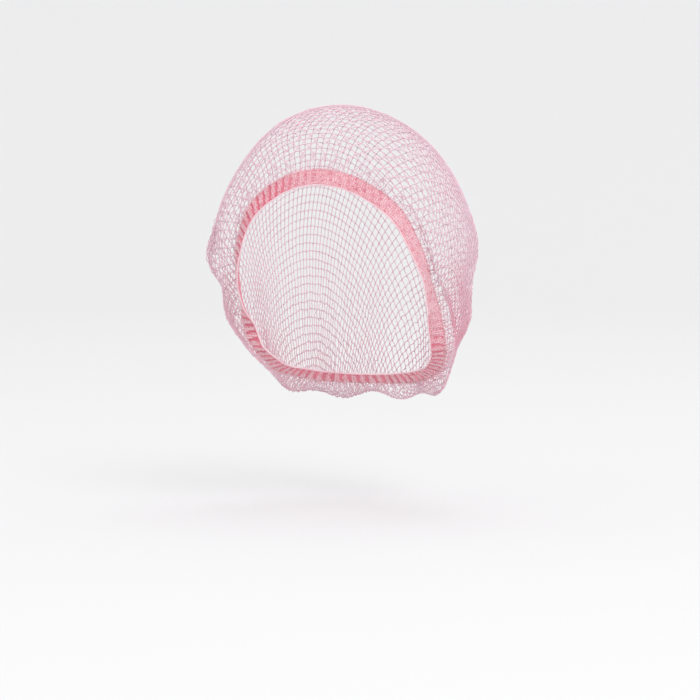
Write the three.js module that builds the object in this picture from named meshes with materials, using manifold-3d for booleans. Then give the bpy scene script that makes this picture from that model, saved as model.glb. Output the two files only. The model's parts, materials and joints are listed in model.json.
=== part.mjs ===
// Large-mesh knitted hairnet in the form that it takes when worn: an open net with a gathered margin
// and a slack pouch at the nape, and an elastic band that runs round the whole face opening.
// Millimetres, +Z up, the face opening looks along -Y, +X is the wearer's left.
// The origin is where the inside of the crown bears on the head.
import * as THREE from "three";
import Module from "manifold-3d";

const wasm = await Module();
wasm.setup();

// Driving sizes of the net's form
const halfWidth = 100;
const frontDepth = 70;
const backDepth = 120;
const height = 228;

// The open net: the mesh from strand to strand, and the steps along one side of a mesh
const netThickness = 1.6;
const meshPitch = 31;
const strandWidth = 8.5;
const strandSteps = 2;

// The gathered margin between the open net and the band, with its pleats
const marginThickness = 2.6;
const napeGather = 92;
const marginLip = 11;
const marginSteps = 5;
const pleatCount = 32;
const pleatHeight = 1.8;
const stepsPerPleat = 4;

// How the strands end in the margin: how far they reach in, how much thinner they get there, and
// how far one stays clear of the next crossing
const netOverlap = 4.5;
const tipTaper = 0.7;
const endCut = 0.6;

// Soft ruffles of the slack pouch: where they start and are full, and where they and the folds
// calm down towards the band, as shares of the way from the crown to the band
const ruffleCount = 11;
const ruffleHeight = 3.2;
const ruffleStart = 0.45;
const ruffleFull = 0.8;
const calmFrom = 0.9;

// The elastic band
const bandWidth = 11.5;
const bandThickness = 2;
const ribPitch = 7;
const ribHeight = 0.9;
const seamGap = 0.3;

// The longest stretch over which the net keeps the band's own direction where it leaves it
const longestLead = 9;

// Sampling of the worked-out surface, and the shortest edge that is kept after joining
const meridianCount = 180;
const meridianSamples = 72;
const bandSamples = 720;
const normalStep = 1.5;
const shortestEdge = 0.05;

const degree = Math.PI / 180;
const halfTurn = 180;
const fullTurn = 360;
const up = new THREE.Vector3(0, 0, 1);

// Outline of the net in each direction from the crown. Turn is in degrees from the front. Each
// station gives a reach, as a share of the plan's size in that direction, and a drop, as a share
// of the height.
const outline = [
  {
    turn: 0, margin: 0.18,
    crown: [0.36, 0.011], shoulder: [0.6, 0.039], flank: [0.73, 0.068],
    widest: [0.8, 0.093], waist: [0.85, 0.117], pouch: [0.885, 0.138], bottom: [0.905, 0.155],
  },
  {
    turn: 40, margin: 0.2,
    crown: [0.37, 0.017], shoulder: [0.63, 0.064], flank: [0.79, 0.125],
    widest: [0.885, 0.185], waist: [0.925, 0.226], pouch: [0.935, 0.25], bottom: [0.94, 0.272],
  },
  {
    turn: 65, margin: 0.28,
    crown: [0.35, 0.026], shoulder: [0.6, 0.094], flank: [0.79, 0.193],
    widest: [0.925, 0.32], waist: [0.945, 0.42], pouch: [0.925, 0.475], bottom: [0.885, 0.515],
  },
  {
    turn: 90, margin: 0.42,
    crown: [0.365, 0.035], shoulder: [0.625, 0.118], flank: [0.83, 0.237],
    widest: [0.985, 0.43], waist: [0.935, 0.585], pouch: [0.915, 0.65], bottom: [0.87, 0.69],
  },
  {
    turn: 103, margin: 0.64,
    crown: [0.37, 0.037], shoulder: [0.635, 0.12], flank: [0.845, 0.245],
    widest: [0.985, 0.44], waist: [0.925, 0.6], pouch: [0.935, 0.7], bottom: [0.83, 0.81],
  },
  {
    turn: 120, margin: 0.85,
    crown: [0.37, 0.038], shoulder: [0.65, 0.123], flank: [0.865, 0.255],
    widest: [0.985, 0.46], waist: [0.94, 0.615], pouch: [0.925, 0.745], bottom: [0.76, 0.92],
  },
  {
    turn: 150, margin: 1,
    crown: [0.37, 0.038], shoulder: [0.655, 0.125], flank: [0.875, 0.265],
    widest: [0.99, 0.47], waist: [0.955, 0.63], pouch: [0.935, 0.79], bottom: [0.78, 0.985],
  },
  {
    turn: 180, margin: 1,
    crown: [0.37, 0.038], shoulder: [0.655, 0.127], flank: [0.88, 0.27],
    widest: [1, 0.47], waist: [0.975, 0.64], pouch: [0.945, 0.8], bottom: [0.79, 0.99],
  },
];
const stations = ["crown", "shoulder", "flank", "widest", "waist", "pouch", "bottom"];

// Middle line of the band from the forehead to the nape, mirrored on the other side. Lean is the
// direction of the band's net side, in degrees above level, seen along the band. Lead is how far
// the net keeps that direction, as a share of the longest lead.
const bandLine = [
  { turn: 0, reach: 0.957, drop: 0.221, lean: 103, lead: 0.4 },
  { turn: 21, reach: 0.925, drop: 0.262, lean: 101, lead: 0.4 },
  { turn: 38, reach: 0.935, drop: 0.355, lean: 98, lead: 0.35 },
  { turn: 49, reach: 0.905, drop: 0.462, lean: 92, lead: 0.3 },
  { turn: 68, reach: 0.8, drop: 0.625, lean: 80, lead: 0.25 },
  { turn: 79, reach: 0.76, drop: 0.7, lean: 58, lead: 0.3 },
  { turn: 90, reach: 0.745, drop: 0.785, lean: 28, lead: 0.3 },
  { turn: 108, reach: 0.69, drop: 0.86, lean: -12, lead: 0.4 },
  { turn: 135, reach: 0.635, drop: 0.905, lean: -36, lead: 0.6 },
  { turn: 180, reach: 0.583, drop: 0.925, lean: -40, lead: 0.8 },
];

// Where the band is drawn in closer to the neck on one side: the middle of the stretch and its
// width in degrees, and how far it goes in, as a share of the plan's size
const tucks = [{ turn: 262, width: 20, inward: 0.08 }];

// Slack folds that stand off the net: where they are, how wide they are in degrees, between which
// shares of the height they run, and how far they stand off in millimetres.
const folds = [
  { turn: 104, width: 8, top: 0.3, bottom: 0.8, stand: 3 },
  { turn: 277, width: 7, top: 0.42, bottom: 0.61, stand: 7 },
  { turn: 266, width: 9, top: 0.6, bottom: 0.8, stand: 3 },
];

// Value at one place of a smooth line through the values at the knots, which has one spare knot
// past each end
function smoothValue(knots, values, at) {
  let i = 1;
  while (i < knots.length - 3 && at > knots[i + 1]) i += 1;
  const before = knots[i] - knots[i - 1];
  const span = knots[i + 1] - knots[i];
  const after = knots[i + 2] - knots[i + 1];
  const rise = (values[i + 1] - values[i]) / span;
  const riseBefore = (values[i] - values[i - 1]) / before;
  const riseAfter = (values[i + 2] - values[i + 1]) / after;
  const slopeStart = (riseBefore * span + rise * before) / (span + before);
  const slopeEnd = (rise * after + riseAfter * span) / (span + after);
  const t = (at - knots[i]) / span;
  const ease = t * t * (3 - 2 * t);
  const leaving = t * (1 - t) * (1 - t) * span * slopeStart;
  const arriving = t * t * (1 - t) * span * slopeEnd;
  return values[i] * (1 - ease) + values[i + 1] * ease + leaving - arriving;
}

// Value of a table's column in one direction. The tables run from the front to the back, and the
// other side mirrors them.
function readTable(rows, read, turn) {
  const folded = Math.abs(((turn + halfTurn) % fullTurn) - halfTurn);
  const last = rows.length - 2;
  const knots = [-rows[1].turn, ...rows.map((row) => row.turn), fullTurn - rows[last].turn];
  const values = [read(rows[1]), ...rows.map(read), read(rows[last])];
  return smoothValue(knots, values, folded);
}

// Rises to 1 in the direction of a row and fades to both sides over its width
function bell(turn, row) {
  const away = ((turn - row.turn + halfTurn + fullTurn) % fullTurn) - halfTurn;
  return Math.exp(-((away / row.width) ** 2));
}

// Point of the plan ellipse in one direction, at a share of its size and a share of the height
function planPoint(turn, reach, drop) {
  const depth = Math.cos(turn * degree) > 0 ? frontDepth : backDepth;
  return new THREE.Vector3(
    reach * halfWidth * Math.sin(turn * degree),
    -reach * depth * Math.cos(turn * degree),
    -drop * height,
  );
}

// Outward level direction in one direction of the plan
function outwardOf(turn) {
  const point = planPoint(turn, 1, 0);
  const depth = point.y < 0 ? frontDepth : backDepth;
  return new THREE.Vector3(point.x / halfWidth ** 2, point.y / depth ** 2, 0).normalize();
}

// Middle of the band in one direction
function bandMiddle(turn) {
  const reach = readTable(bandLine, (row) => row.reach, turn);
  const drop = readTable(bandLine, (row) => row.drop, turn);
  const tucked = tucks.reduce((sum, tuck) => sum + tuck.inward * bell(turn, tuck), 0);
  return planPoint(turn, reach - tucked, drop);
}

// The middle of the band in one direction, with its directions across towards the net and out of
// its face
function bandFrame(turn) {
  const middle = bandMiddle(turn);
  const along = bandMiddle(turn + 1).sub(bandMiddle(turn - 1)).normalize();
  const lean = readTable(bandLine, (row) => row.lean, turn) * degree;
  const across = outwardOf(turn).multiplyScalar(Math.cos(lean)).addScaledVector(up, Math.sin(lean));
  across.addScaledVector(along, -across.dot(along)).normalize();
  const out = new THREE.Vector3().crossVectors(along, across).normalize();
  return { middle, across, out };
}

// One line of the net from the crown to the band, with the length run at each sample
function makeMeridian(turn) {
  const { middle, across } = bandFrame(turn);
  const places = stations.map((name) => {
    const reach = readTable(outline, (row) => row[name][0], turn);
    const drop = readTable(outline, (row) => row[name][1], turn);
    return planPoint(turn, reach, drop);
  });
  const edge = middle.clone().addScaledVector(across, bandWidth / 2 + seamGap);
  const lead = longestLead * readTable(bandLine, (row) => row.lead, turn);
  const approach = edge.clone().addScaledVector(across, lead);
  const opposite = planPoint(turn, -readTable(outline, (row) => row.crown[0], turn), 0);
  opposite.z = places[0].z;
  const crown = new THREE.Vector3(0, 0, netThickness / 2);
  const control = [opposite, crown, ...places, approach, edge, middle];
  const knots = [0];
  for (let i = 1; i < control.length; i += 1) {
    knots.push(knots[i - 1] + control[i].distanceTo(control[i - 1]));
  }
  const samples = [];
  const runs = [];
  const first = knots[1];
  const last = knots[control.length - 2];
  for (let i = 0; i <= meridianSamples; i += 1) {
    const at = first + ((last - first) * i) / meridianSamples;
    const point = new THREE.Vector3(
      smoothValue(knots, control.map((c) => c.x), at),
      smoothValue(knots, control.map((c) => c.y), at),
      smoothValue(knots, control.map((c) => c.z), at),
    );
    runs.push(i === 0 ? 0 : runs[i - 1] + point.distanceTo(samples[i - 1]));
    samples.push(point);
  }
  return { samples, runs };
}

const meridianTurn = fullTurn / meridianCount;
const meridians = Array.from({ length: meridianCount }, (_, i) => makeMeridian(i * meridianTurn));

// Point on one stored line after a length from the crown
function pointOnMeridian({ samples, runs }, run) {
  let i = 1;
  while (i < runs.length - 1 && runs[i] < run) i += 1;
  const share = (run - runs[i - 1]) / (runs[i] - runs[i - 1]);
  return samples[i - 1].clone().lerp(samples[i], share);
}

// Length from the crown to the band in one direction
function fullRun(turn) {
  const place = ((turn + fullTurn) % fullTurn) / meridianTurn;
  const low = Math.floor(place);
  const from = meridians[low % meridianCount].runs[meridianSamples];
  const to = meridians[(low + 1) % meridianCount].runs[meridianSamples];
  return from + (to - from) * (place - low);
}

// Point of the smooth form in one direction after a length from the crown
function formPoint(turn, run) {
  const place = ((turn + fullTurn) % fullTurn) / meridianTurn;
  const low = Math.floor(place);
  const from = pointOnMeridian(meridians[low % meridianCount], run);
  const to = pointOnMeridian(meridians[(low + 1) % meridianCount], run);
  return from.lerp(to, place - low);
}

// Outward direction of the smooth form
function formNormal(turn, run) {
  if (run < normalStep * 2) return up.clone();
  const sideStep = (normalStep / run / degree) * 2;
  const beside = formPoint(turn + sideStep, run).sub(formPoint(turn - sideStep, run));
  const onward = formPoint(turn, run + normalStep).sub(formPoint(turn, run - normalStep));
  return beside.cross(onward).normalize().negate();
}

// Rises from 0 to 1 and falls back to 0 across a span, with level ends
function hump(share) {
  if (share <= 0 || share >= 1) return 0;
  return Math.sin(share * Math.PI) ** 2;
}

// How far the net stands off its smooth form: the slack folds and the pouch's ruffles
function slackHeight(turn, run) {
  const drop = -formPoint(turn, run).z / height;
  const stands = folds.map((fold) => {
    const down = (drop - fold.top) / (fold.bottom - fold.top);
    return fold.stand * hump(down) * bell(turn, fold);
  });
  const backShare = Math.max(0, -Math.cos(turn * degree));
  const wave = Math.cos(ruffleCount * turn * degree);
  const fromWaist = THREE.MathUtils.smoothstep(run / fullRun(turn), ruffleStart, ruffleFull);
  const ruffle = ruffleHeight * wave * fromWaist * Math.sqrt(backShare);
  return stands.reduce((sum, stand) => sum + stand, ruffle);
}

// Where the gathered margin starts, as a length from the crown
function marginStart(turn) {
  return fullRun(turn) - napeGather * readTable(outline, (row) => row.margin, turn);
}

// Height of the margin's pleats, which grow towards the band
function pleatWave(turn, run) {
  const start = marginStart(turn) + netOverlap + strandWidth / 2;
  const grown = Math.max(0, (run - start) / (fullRun(turn) - start));
  return pleatHeight * Math.cos(pleatCount * turn * degree) * grown;
}

// Point of the net at a height off the middle of its thickness
function netPoint(turn, run, off) {
  const fade = 1 - THREE.MathUtils.smoothstep(run / fullRun(turn), calmFrom, 1);
  const stand = slackHeight(turn, run) * fade + off;
  return formPoint(turn, run).addScaledVector(formNormal(turn, run), stand);
}

// Collects points and triangles, with like points shared
class ShellMesh {
  constructor() {
    this.places = [];
    this.triangles = [];
    this.known = new Map();
  }

  add(key, makePlace) {
    if (!this.known.has(key)) {
      this.known.set(key, this.places.length);
      this.places.push(makePlace());
    }
    return this.known.get(key);
  }

  quad(a, b, c, d) {
    this.triangles.push(a, b, c, a, c, d);
  }

  solid() {
    const vertProperties = new Float32Array(this.places.flatMap((p) => [p.x, p.y, p.z]));
    const triVerts = new Uint32Array(this.triangles);
    return new wasm.Manifold(new wasm.Mesh({ numProp: 3, vertProperties, triVerts }));
  }
}

// Direction and length from the crown of a place in the flat net
function flatToForm(p, q) {
  const side = (p + q) * Math.SQRT1_2;
  const back = (q - p) * Math.SQRT1_2;
  const depth = back < 0 ? frontDepth : backDepth;
  const turn = Math.atan2(side / halfWidth, -back / depth) / degree;
  return { turn: (turn + fullTurn) % fullTurn, run: Math.hypot(side, back) };
}

// The open net: square meshes laid slantwise over the crown, cut right through
function makeLattice() {
  const mesh = new ShellMesh();
  const half = strandWidth / 2;
  const inside = (i, j) => {
    const { turn, run } = flatToForm(i * meshPitch, j * meshPitch);
    return run < marginStart(turn) + netOverlap;
  };
  const corner = (p, q, face) => {
    const key = `${p.toFixed(3)},${q.toFixed(3)},${face}`;
    return mesh.add(key, () => {
      const { turn, run } = flatToForm(p, q);
      const sunk = THREE.MathUtils.smoothstep(run - marginStart(turn), -netThickness, netThickness);
      return netPoint(turn, run, (face * netThickness * (1 - sunk * tipTaper)) / 2);
    });
  };
  const walls = new Map();
  const patch = (corners) => {
    const top = corners.map(([p, q]) => corner(p, q, 1));
    const under = corners.map(([p, q]) => corner(p, q, -1));
    mesh.quad(top[0], top[1], top[2], top[3]);
    mesh.quad(under[0], under[3], under[2], under[1]);
    corners.forEach((_, k) => {
      const next = (k + 1) % corners.length;
      const back = `${top[next]}-${top[k]}`;
      if (walls.has(back)) walls.delete(back);
      else walls.set(`${top[k]}-${top[next]}`, [under[k], under[next], top[next], top[k]]);
    });
  };
  // One strand from a crossing towards the next one. Where that one lies in the margin, the strand
  // ends a little way into the margin.
  const strand = (i, j, towards, isWhole) => {
    const [alongP, alongQ] = towards;
    const place = (at, across) => [
      i * meshPitch + alongP * at - alongQ * across,
      j * meshPitch + alongQ * at + alongP * across,
    ];
    const depthAt = (at) => {
      const { turn, run } = flatToForm(...place(at, 0));
      return run - marginStart(turn);
    };
    let length = meshPitch - strandWidth;
    if (!isWhole) length -= endCut;
    while (!isWhole && length > 0 && depthAt(half + length) > netOverlap) length -= endCut;
    if (length <= 0) return;
    const steps = isWhole ? strandSteps : Math.ceil((length * strandSteps) / meshPitch);
    for (let k = 0; k < steps; k += 1) {
      const from = half + (length * k) / steps;
      const to = half + (length * (k + 1)) / steps;
      const narrow = isWhole || k < steps - 1 ? half : half - endCut;
      patch([place(from, -half), place(to, -narrow), place(to, narrow), place(from, half)]);
    }
  };
  const reach = Math.ceil((halfWidth + backDepth + height) / meshPitch);
  for (let i = -reach; i <= reach; i += 1) {
    for (let j = -reach; j <= reach; j += 1) {
      if (!inside(i, j)) continue;
      const [p, q] = [i * meshPitch, j * meshPitch];
      patch([[p - half, q - half], [p + half, q - half], [p + half, q + half], [p - half, q + half]]);
      for (const [di, dj] of [[1, 0], [0, 1], [-1, 0], [0, -1]]) {
        const isWhole = inside(i + di, j + dj);
        if (!isWhole || di + dj > 0) strand(i, j, [di, dj], isWhole);
      }
    }
  }
  walls.forEach((wall) => mesh.quad(...wall));
  return mesh.solid();
}

// The gathered margin: a pleated shell from the open net down to the band
function makeMargin() {
  const mesh = new ShellMesh();
  const columns = pleatCount * stepsPerPleat;
  const place = (column, step, face) => {
    const wrapped = column % columns;
    return mesh.add(`${wrapped},${step},${face}`, () => {
      const turn = (wrapped * fullTurn) / columns;
      const start = marginStart(turn);
      const end = fullRun(turn);
      const lip = Math.min(marginLip, (end - start) / marginSteps);
      const share = (step - 1) / (marginSteps - 1);
      const run = step === 0 ? start : start + lip + (end - start - lip) * share;
      const off = pleatWave(turn, run) + (face * marginThickness) / 2;
      if (step < marginSteps) return netPoint(turn, run, off);
      const { middle, across, out } = bandFrame(turn);
      return middle.addScaledVector(across, bandWidth / 2 + seamGap).addScaledVector(out, off);
    });
  };
  for (let c = 0; c < columns; c += 1) {
    for (let s = 0; s < marginSteps; s += 1) {
      const top = [place(c, s, 1), place(c, s + 1, 1), place(c + 1, s + 1, 1), place(c + 1, s, 1)];
      const under = [place(c, s, -1), place(c + 1, s, -1), place(c + 1, s + 1, -1), place(c, s + 1, -1)];
      mesh.quad(...top);
      mesh.quad(...under);
    }
    mesh.quad(place(c, 0, -1), place(c, 0, 1), place(c + 1, 0, 1), place(c + 1, 0, -1));
    const end = marginSteps;
    mesh.quad(place(c, end, 1), place(c, end, -1), place(c + 1, end, -1), place(c + 1, end, 1));
  }
  return mesh.solid();
}

// Triangles of a joined solid, without the crumbs of edges that joining leaves behind
function tidyTriangles(solid) {
  const { vertProperties, triVerts, numProp } = solid.getMesh();
  const placeOf = (vertex) => new THREE.Vector3().fromArray(vertProperties, vertex * numProp);
  const leaders = Array.from({ length: vertProperties.length / numProp }, (_, i) => i);
  const leaderOf = (vertex) => {
    let leader = vertex;
    while (leaders[leader] !== leader) leader = leaders[leader];
    return leader;
  };
  for (let i = 0; i < triVerts.length; i += 1) {
    const a = leaderOf(triVerts[i]);
    const b = leaderOf(triVerts[i % 3 === 2 ? i - 2 : i + 1]);
    if (a !== b && placeOf(a).distanceTo(placeOf(b)) < shortestEdge) {
      leaders[Math.max(a, b)] = Math.min(a, b);
    }
  }
  const kept = new Map();
  for (let i = 0; i < triVerts.length; i += 3) {
    const corners = [0, 1, 2].map((k) => leaderOf(triVerts[i + k]));
    if (new Set(corners).size < 3) continue;
    const key = [...corners].sort((a, b) => a - b).join();
    if (kept.has(key)) kept.delete(key);
    else kept.set(key, corners);
  }
  return [...kept.values()].flat().map(placeOf);
}

// A three.js geometry from a solid
function geometryOf(solid) {
  const geometry = new THREE.BufferGeometry().setFromPoints(tidyTriangles(solid));
  geometry.computeVertexNormals();
  return geometry;
}

// The net: the open meshes and the gathered margin as one body
function makeNetBag() {
  const bodies = makeLattice().add(makeMargin()).decompose();
  bodies.sort((a, b) => b.volume() - a.volume());
  const material = new THREE.MeshStandardMaterial({ color: "#e9b4c8", roughness: 0.85, metalness: 0 });
  const mesh = new THREE.Mesh(geometryOf(bodies[0]), material);
  mesh.name = "net_bag";
  return mesh;
}

// Places round the band at about even steps, as directions
function bandTurns(stepCountOf) {
  const sampleTurn = fullTurn / bandSamples;
  const lengths = [0];
  for (let i = 1; i <= bandSamples; i += 1) {
    const step = bandMiddle(i * sampleTurn).distanceTo(bandMiddle((i - 1) * sampleTurn));
    lengths.push(lengths[i - 1] + step);
  }
  const length = lengths[bandSamples];
  const count = stepCountOf(length);
  const turns = [];
  let i = 0;
  for (let k = 0; k < count; k += 1) {
    const want = (length * k) / count;
    while (lengths[i + 1] < want) i += 1;
    const share = (want - lengths[i]) / (lengths[i + 1] - lengths[i]);
    turns.push((i + share) * sampleTurn);
  }
  return turns;
}

// The elastic band: one closed loop with a flat section, raised into ribs on its outer face. The
// section's corners are shares of half the width and of half the thickness.
function makeBand() {
  const turns = bandTurns((length) => 2 * Math.round(length / ribPitch));
  const half = bandWidth / 2;
  const section = [[-1, 0.4], [-0.5, 1], [0.5, 1], [1, 0.4], [1, -1], [-1, -1]];
  const mesh = new ShellMesh();
  const place = (ring, k) => {
    const wrapped = ring % turns.length;
    return mesh.add(`${wrapped},${k}`, () => {
      const { middle, across, out } = bandFrame(turns[wrapped]);
      const rib = wrapped % 2 === 0 ? ribHeight / 2 : -ribHeight / 2;
      const [over, off] = section[k];
      const thick = off > 0 ? bandThickness / 2 + rib : bandThickness / 2;
      return middle.addScaledVector(across, over * half).addScaledVector(out, off * thick);
    });
  };
  for (let ring = 0; ring < turns.length; ring += 1) {
    for (let k = 0; k < section.length; k += 1) {
      const next = (k + 1) % section.length;
      mesh.quad(place(ring, k), place(ring + 1, k), place(ring + 1, next), place(ring, next));
    }
  }
  const material = new THREE.MeshStandardMaterial({ color: "#e893ae", roughness: 0.8, metalness: 0 });
  const band = new THREE.Mesh(geometryOf(mesh.solid()), material);
  band.name = "elastic_band";
  return band;
}

const hairnet = new THREE.Group();
hairnet.add(makeNetBag());
hairnet.add(makeBand());

export default hairnet;
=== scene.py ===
"""Knitted large-mesh hairnet in its worn form, with a plain studio round it.

The form is worked out from the same named sizes and tables as the part's solids. The net is then
knitted over it yarn by yarn, and the elastic band stitch by stitch.
"""

import json
import math

import bpy
import numpy as np
from bpy.props import FloatProperty, FloatVectorProperty, IntProperty, PointerProperty
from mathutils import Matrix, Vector

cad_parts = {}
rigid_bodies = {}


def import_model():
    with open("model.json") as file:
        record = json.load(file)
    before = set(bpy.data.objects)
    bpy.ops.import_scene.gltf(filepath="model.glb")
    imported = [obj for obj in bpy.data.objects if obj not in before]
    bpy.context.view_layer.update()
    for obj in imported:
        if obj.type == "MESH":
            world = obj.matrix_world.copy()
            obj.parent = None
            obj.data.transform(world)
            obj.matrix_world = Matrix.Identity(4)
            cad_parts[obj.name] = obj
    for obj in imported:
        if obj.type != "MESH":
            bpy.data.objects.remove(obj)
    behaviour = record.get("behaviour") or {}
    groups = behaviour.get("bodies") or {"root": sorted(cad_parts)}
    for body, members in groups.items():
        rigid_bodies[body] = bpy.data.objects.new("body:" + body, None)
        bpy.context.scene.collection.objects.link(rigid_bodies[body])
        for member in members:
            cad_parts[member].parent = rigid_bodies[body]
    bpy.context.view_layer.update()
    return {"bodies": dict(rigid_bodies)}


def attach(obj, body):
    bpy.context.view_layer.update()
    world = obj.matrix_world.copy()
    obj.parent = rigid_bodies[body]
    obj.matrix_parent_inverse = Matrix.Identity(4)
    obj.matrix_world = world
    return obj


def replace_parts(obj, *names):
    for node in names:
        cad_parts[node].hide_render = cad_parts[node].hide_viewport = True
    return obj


bl_info = {
    "name": "Knitted hairnet",
    "version": (1, 0, 0),
    "blender": (4, 5, 0),
    "location": "View3D > Sidebar > Hairnet",
    "description": "Knits a worn large-mesh hairnet with its elastic band, in a plain studio",
    "category": "Object",
}

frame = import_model()
body = next(iter(frame["bodies"]))

MM = 0.001
UP = np.array([0.0, 0.0, 1.0])


def table(columns, *rows):
    """Rows of values by the names of their columns."""
    return [dict(zip(columns.split(), row)) for row in rows]


# Outline of the net in each direction from the crown. Turn is in degrees from the front. Each
# station gives a reach, as a share of the plan's size in that direction, and a drop, as a share
# of the height.
OUTLINE = table(
    "turn crown shoulder flank widest waist pouch bottom",
    (0, (0.36, 0.011), (0.6, 0.039), (0.73, 0.068), (0.8, 0.093),
     (0.85, 0.117), (0.885, 0.138), (0.905, 0.155)),
    (40, (0.37, 0.017), (0.63, 0.064), (0.79, 0.125), (0.885, 0.185),
     (0.925, 0.226), (0.935, 0.25), (0.94, 0.272)),
    (65, (0.35, 0.026), (0.6, 0.094), (0.79, 0.193), (0.925, 0.32),
     (0.945, 0.42), (0.925, 0.475), (0.885, 0.515)),
    (90, (0.365, 0.035), (0.625, 0.118), (0.83, 0.237), (0.985, 0.43),
     (0.935, 0.585), (0.915, 0.65), (0.87, 0.69)),
    (103, (0.37, 0.037), (0.635, 0.12), (0.845, 0.245), (0.985, 0.44),
     (0.925, 0.6), (0.935, 0.7), (0.83, 0.81)),
    (120, (0.37, 0.038), (0.65, 0.123), (0.865, 0.255), (0.985, 0.46),
     (0.94, 0.615), (0.925, 0.745), (0.76, 0.92)),
    (150, (0.37, 0.038), (0.655, 0.125), (0.875, 0.265), (0.99, 0.47),
     (0.955, 0.63), (0.935, 0.79), (0.78, 0.985)),
    (180, (0.37, 0.038), (0.655, 0.127), (0.88, 0.27), (1, 0.47),
     (0.975, 0.64), (0.945, 0.8), (0.79, 0.99)),
)
STATIONS = ("crown", "shoulder", "flank", "widest", "waist", "pouch", "bottom")

# Middle line of the band from the forehead to the nape, mirrored on the other side. Lean is the
# direction of the band's net side, in degrees above level, seen along the band. Lead is how far
# the net keeps that direction, as a share of the longest lead.
BAND_LINE = table(
    "turn reach drop lean lead",
    (0, 0.957, 0.221, 103, 0.4),
    (21, 0.925, 0.262, 101, 0.4),
    (38, 0.935, 0.355, 98, 0.35),
    (49, 0.905, 0.462, 92, 0.3),
    (68, 0.8, 0.625, 80, 0.25),
    (79, 0.76, 0.7, 58, 0.3),
    (90, 0.745, 0.785, 28, 0.3),
    (108, 0.69, 0.86, -12, 0.4),
    (135, 0.635, 0.905, -36, 0.6),
    (180, 0.583, 0.925, -40, 0.8),
)

# Where the band is drawn in closer to the neck on one side
TUCKS = [{"turn": 262, "width": 20, "inward": 0.08}]

# Slack folds that stand off the net: where they are, how wide they are in degrees, between which
# shares of the height they run, and how far they stand off in millimetres
FOLDS = table(
    "turn width top bottom stand",
    (104, 8, 0.3, 0.8, 3),
    (277, 7, 0.42, 0.61, 7),
    (266, 9, 0.6, 0.8, 3),
)

# How the flat net lies round the head: the direction of a place in the flat net, near the crown
# and far from it, for each direction round the head, and how far the net is stretched downwards.
# Closely spaced directions far from the crown open the meshes, widely spaced ones gather them.
LAY = table(
    "turn near far stretch",
    (-180, -180, -180, 0.95),
    (-135, -138, -125, 1.0),
    (-105, -107, -84, 1.03),
    (-88, -89, -67, 1.05),
    (-68, -74, -51, 1.05),
    (-40, -52, -36, 1.06),
    (-20, -29, -21, 1.08),
    (0, 0, 0, 1.1),
    (20, 29, 21, 1.13),
    (40, 52, 40, 1.18),
    (48, 59, 48, 1.2),
    (57, 67, 58, 1.18),
    (65, 72, 68, 1.13),
    (75, 80, 80, 1.04),
    (83, 85, 89, 0.98),
    (90, 90, 96, 0.95),
    (99, 99, 107, 0.94),
    (112, 112, 124, 0.94),
    (140, 142, 151, 0.95),
)

# The band's own surface and the gathers beside it, for each direction round the head: how high
# the ribs stand in millimetres, how far the gathers reach up the net and how pink the yarn looks,
# as a share
FINISH = table(
    "turn rib gather pink",
    (-180, 0.8, 11, 0.15),
    (-130, 0.8, 11, 0.2),
    (-105, 0.9, 10, 0.35),
    (-90, 1.0, 6, 0.3),
    (-70, 1.0, 5, 0.15),
    (-40, 1.0, 12, 0.1),
    (-22, 0.85, 12, 0.05),
    (-8, 0.35, 11, 0.05),
    (8, 0.2, 11, 0.05),
    (20, 0.4, 11, 0.05),
    (38, 0.12, 10, 0.1),
    (50, 0.1, 9, 0.12),
    (72, 0.1, 8, 0.2),
    (82, 0.35, 10, 0.65),
    (92, 0.8, 12, 0.75),
    (106, 0.9, 13, 0.4),
    (130, 0.8, 12, 0.2),
)


def linear(code):
    """Turns an sRGB hex colour into linear red, green and blue."""
    shares = [int(code[i : i + 2], 16) / 255 for i in (1, 3, 5)]
    return [s / 12.92 if s <= 0.04045 else ((s + 0.055) / 1.055) ** 2.4 for s in shares]


def length(name, description, millimetres):
    """A length that a user may change, given here in millimetres."""
    return FloatProperty(
        name=name, description=description, default=millimetres * MM, min=0, unit="LENGTH", precision=4
    )


def angle(name, description, degrees):
    """An angle that a user may change, given here in degrees."""
    return FloatProperty(
        name=name, description=description, default=math.radians(degrees), subtype="ANGLE"
    )


def colour(name, description, code):
    """A colour that a user may change."""
    return FloatVectorProperty(
        name=name, description=description, default=linear(code), size=3, min=0, max=1, subtype="COLOR"
    )


class HairnetForm(bpy.types.PropertyGroup):
    half_width: length("Half width", "From the middle of the head to the widest side", 100)
    front_depth: length("Front depth", "From the crown to the forehead", 70)
    back_depth: length("Back depth", "From the crown to the back of the pouch", 120)
    height: length("Height", "From the crown to the bottom of the pouch", 228)
    thickness: length("Net thickness", "Thickness of the net's solid at the crown", 1.6)
    longest_lead: length("Longest lead", "How far the net keeps the band's own direction", 9)
    ruffle_height: length("Ruffle height", "How far the pouch's soft ruffles stand", 3.2)
    ruffle_count: IntProperty(name="Ruffles", description="Ruffles round the net", default=11, min=0)


class HairnetNet(bpy.types.PropertyGroup):
    mesh: length("Mesh", "From one yarn of the net to the next", 6.5)
    yarn: length("Yarn", "Thickness of the net's yarn", 0.85)
    arch: length("Arch", "How far a yarn arches towards the crown between two knots", 0.55)
    knot: length("Knot", "Length of the knot at a crossing", 1.7)
    slack: length("Slack", "How far a knot strays from its even place", 0.24)
    sway: length("Sway", "How far a whole area of meshes strays from its even place", 0.7)
    crumple: length("Crumple", "How far a knot strays in the slack folds", 1.1)
    wander: length("Wander", "How far a yarn wanders between two knots in the slack folds", 0.6)
    gather_pitch: length("Gather pitch", "From one gathered yarn to the next at the band", 2.0)
    gather_yarn: length("Gather yarn", "Thickness of the yarn in the gathers", 0.55)
    pale: colour("Pale yarn", "Colour of the open net", "#EBCFDA")
    pink: colour("Pink yarn", "Colour of the net where it lies in thick gathers", "#E297AA")


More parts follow.
